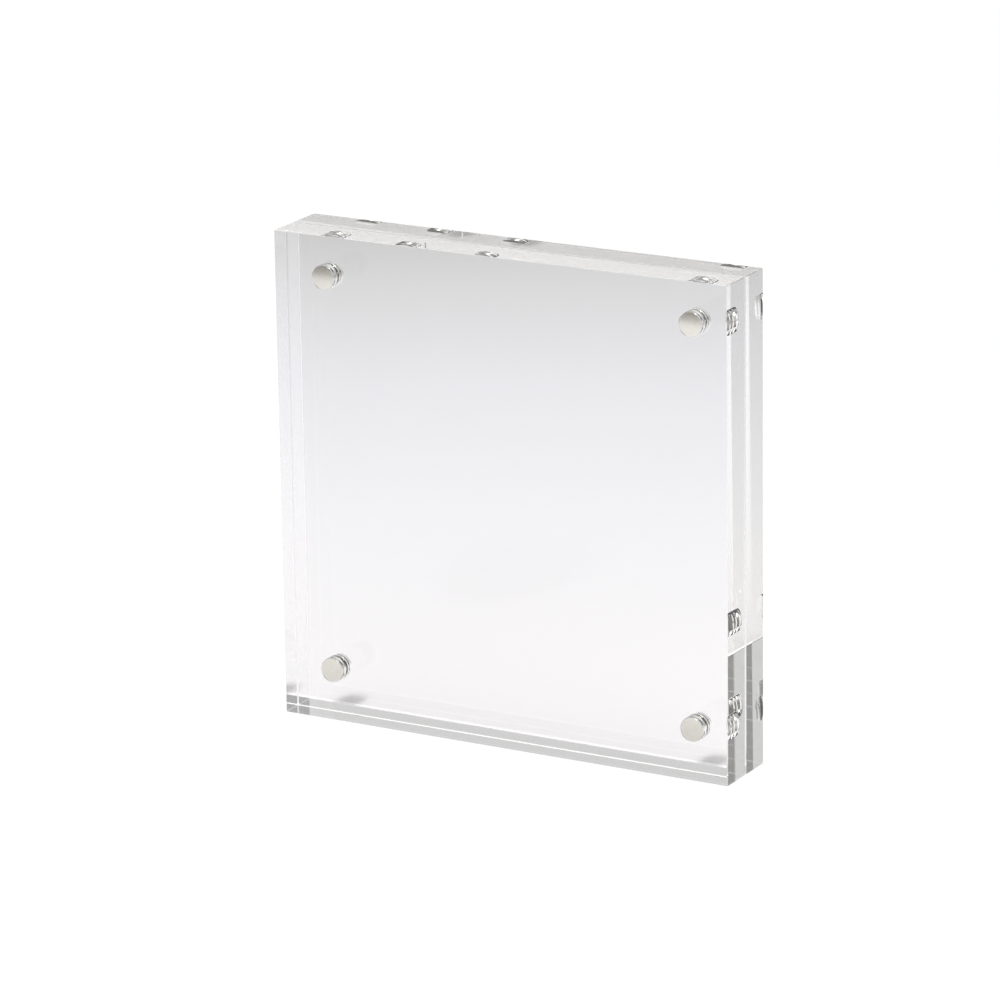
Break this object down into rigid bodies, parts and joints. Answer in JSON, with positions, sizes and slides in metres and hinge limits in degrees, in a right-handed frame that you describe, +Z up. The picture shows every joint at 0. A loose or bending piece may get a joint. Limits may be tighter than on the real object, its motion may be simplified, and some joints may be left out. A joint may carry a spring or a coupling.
{
  "type": "acrylic block frame",
  "caption": "Square clear block frame that stands on its edge and holds a print between a front and a rear block, which magnets near the corners pull together.",
  "frame": {"origin": "middle of the footprint, on the surface that the frame stands on", "axes": "+Z up, front face towards -Y, +X to the right as seen from the front"},
  "size_m": [0.127, 0.0196, 0.127],
  "materials": {
    "clear_acrylic": "clear, polished on every face and edge",
    "nickel_plating": "bright nickel plating, lightly satin on the flat faces"
  },
  "bodies": {
    "rear": {"rear_block": "clear_acrylic", "rear_magnet_top_left": "nickel_plating", "rear_magnet_top_right": "nickel_plating", "rear_magnet_bottom_left": "nickel_plating", "rear_magnet_bottom_right": "nickel_plating"},
    "front": {"front_block": "clear_acrylic", "front_magnet_top_left": "nickel_plating", "front_magnet_top_right": "nickel_plating", "front_magnet_bottom_left": "nickel_plating", "front_magnet_bottom_right": "nickel_plating"}
  },
  "joints": [
    {"name": "front_pull", "type": "slide", "parent": "rear", "child": "front", "axis": [0, -1, 0], "range_m": [0, 0.06]}
  ]
}
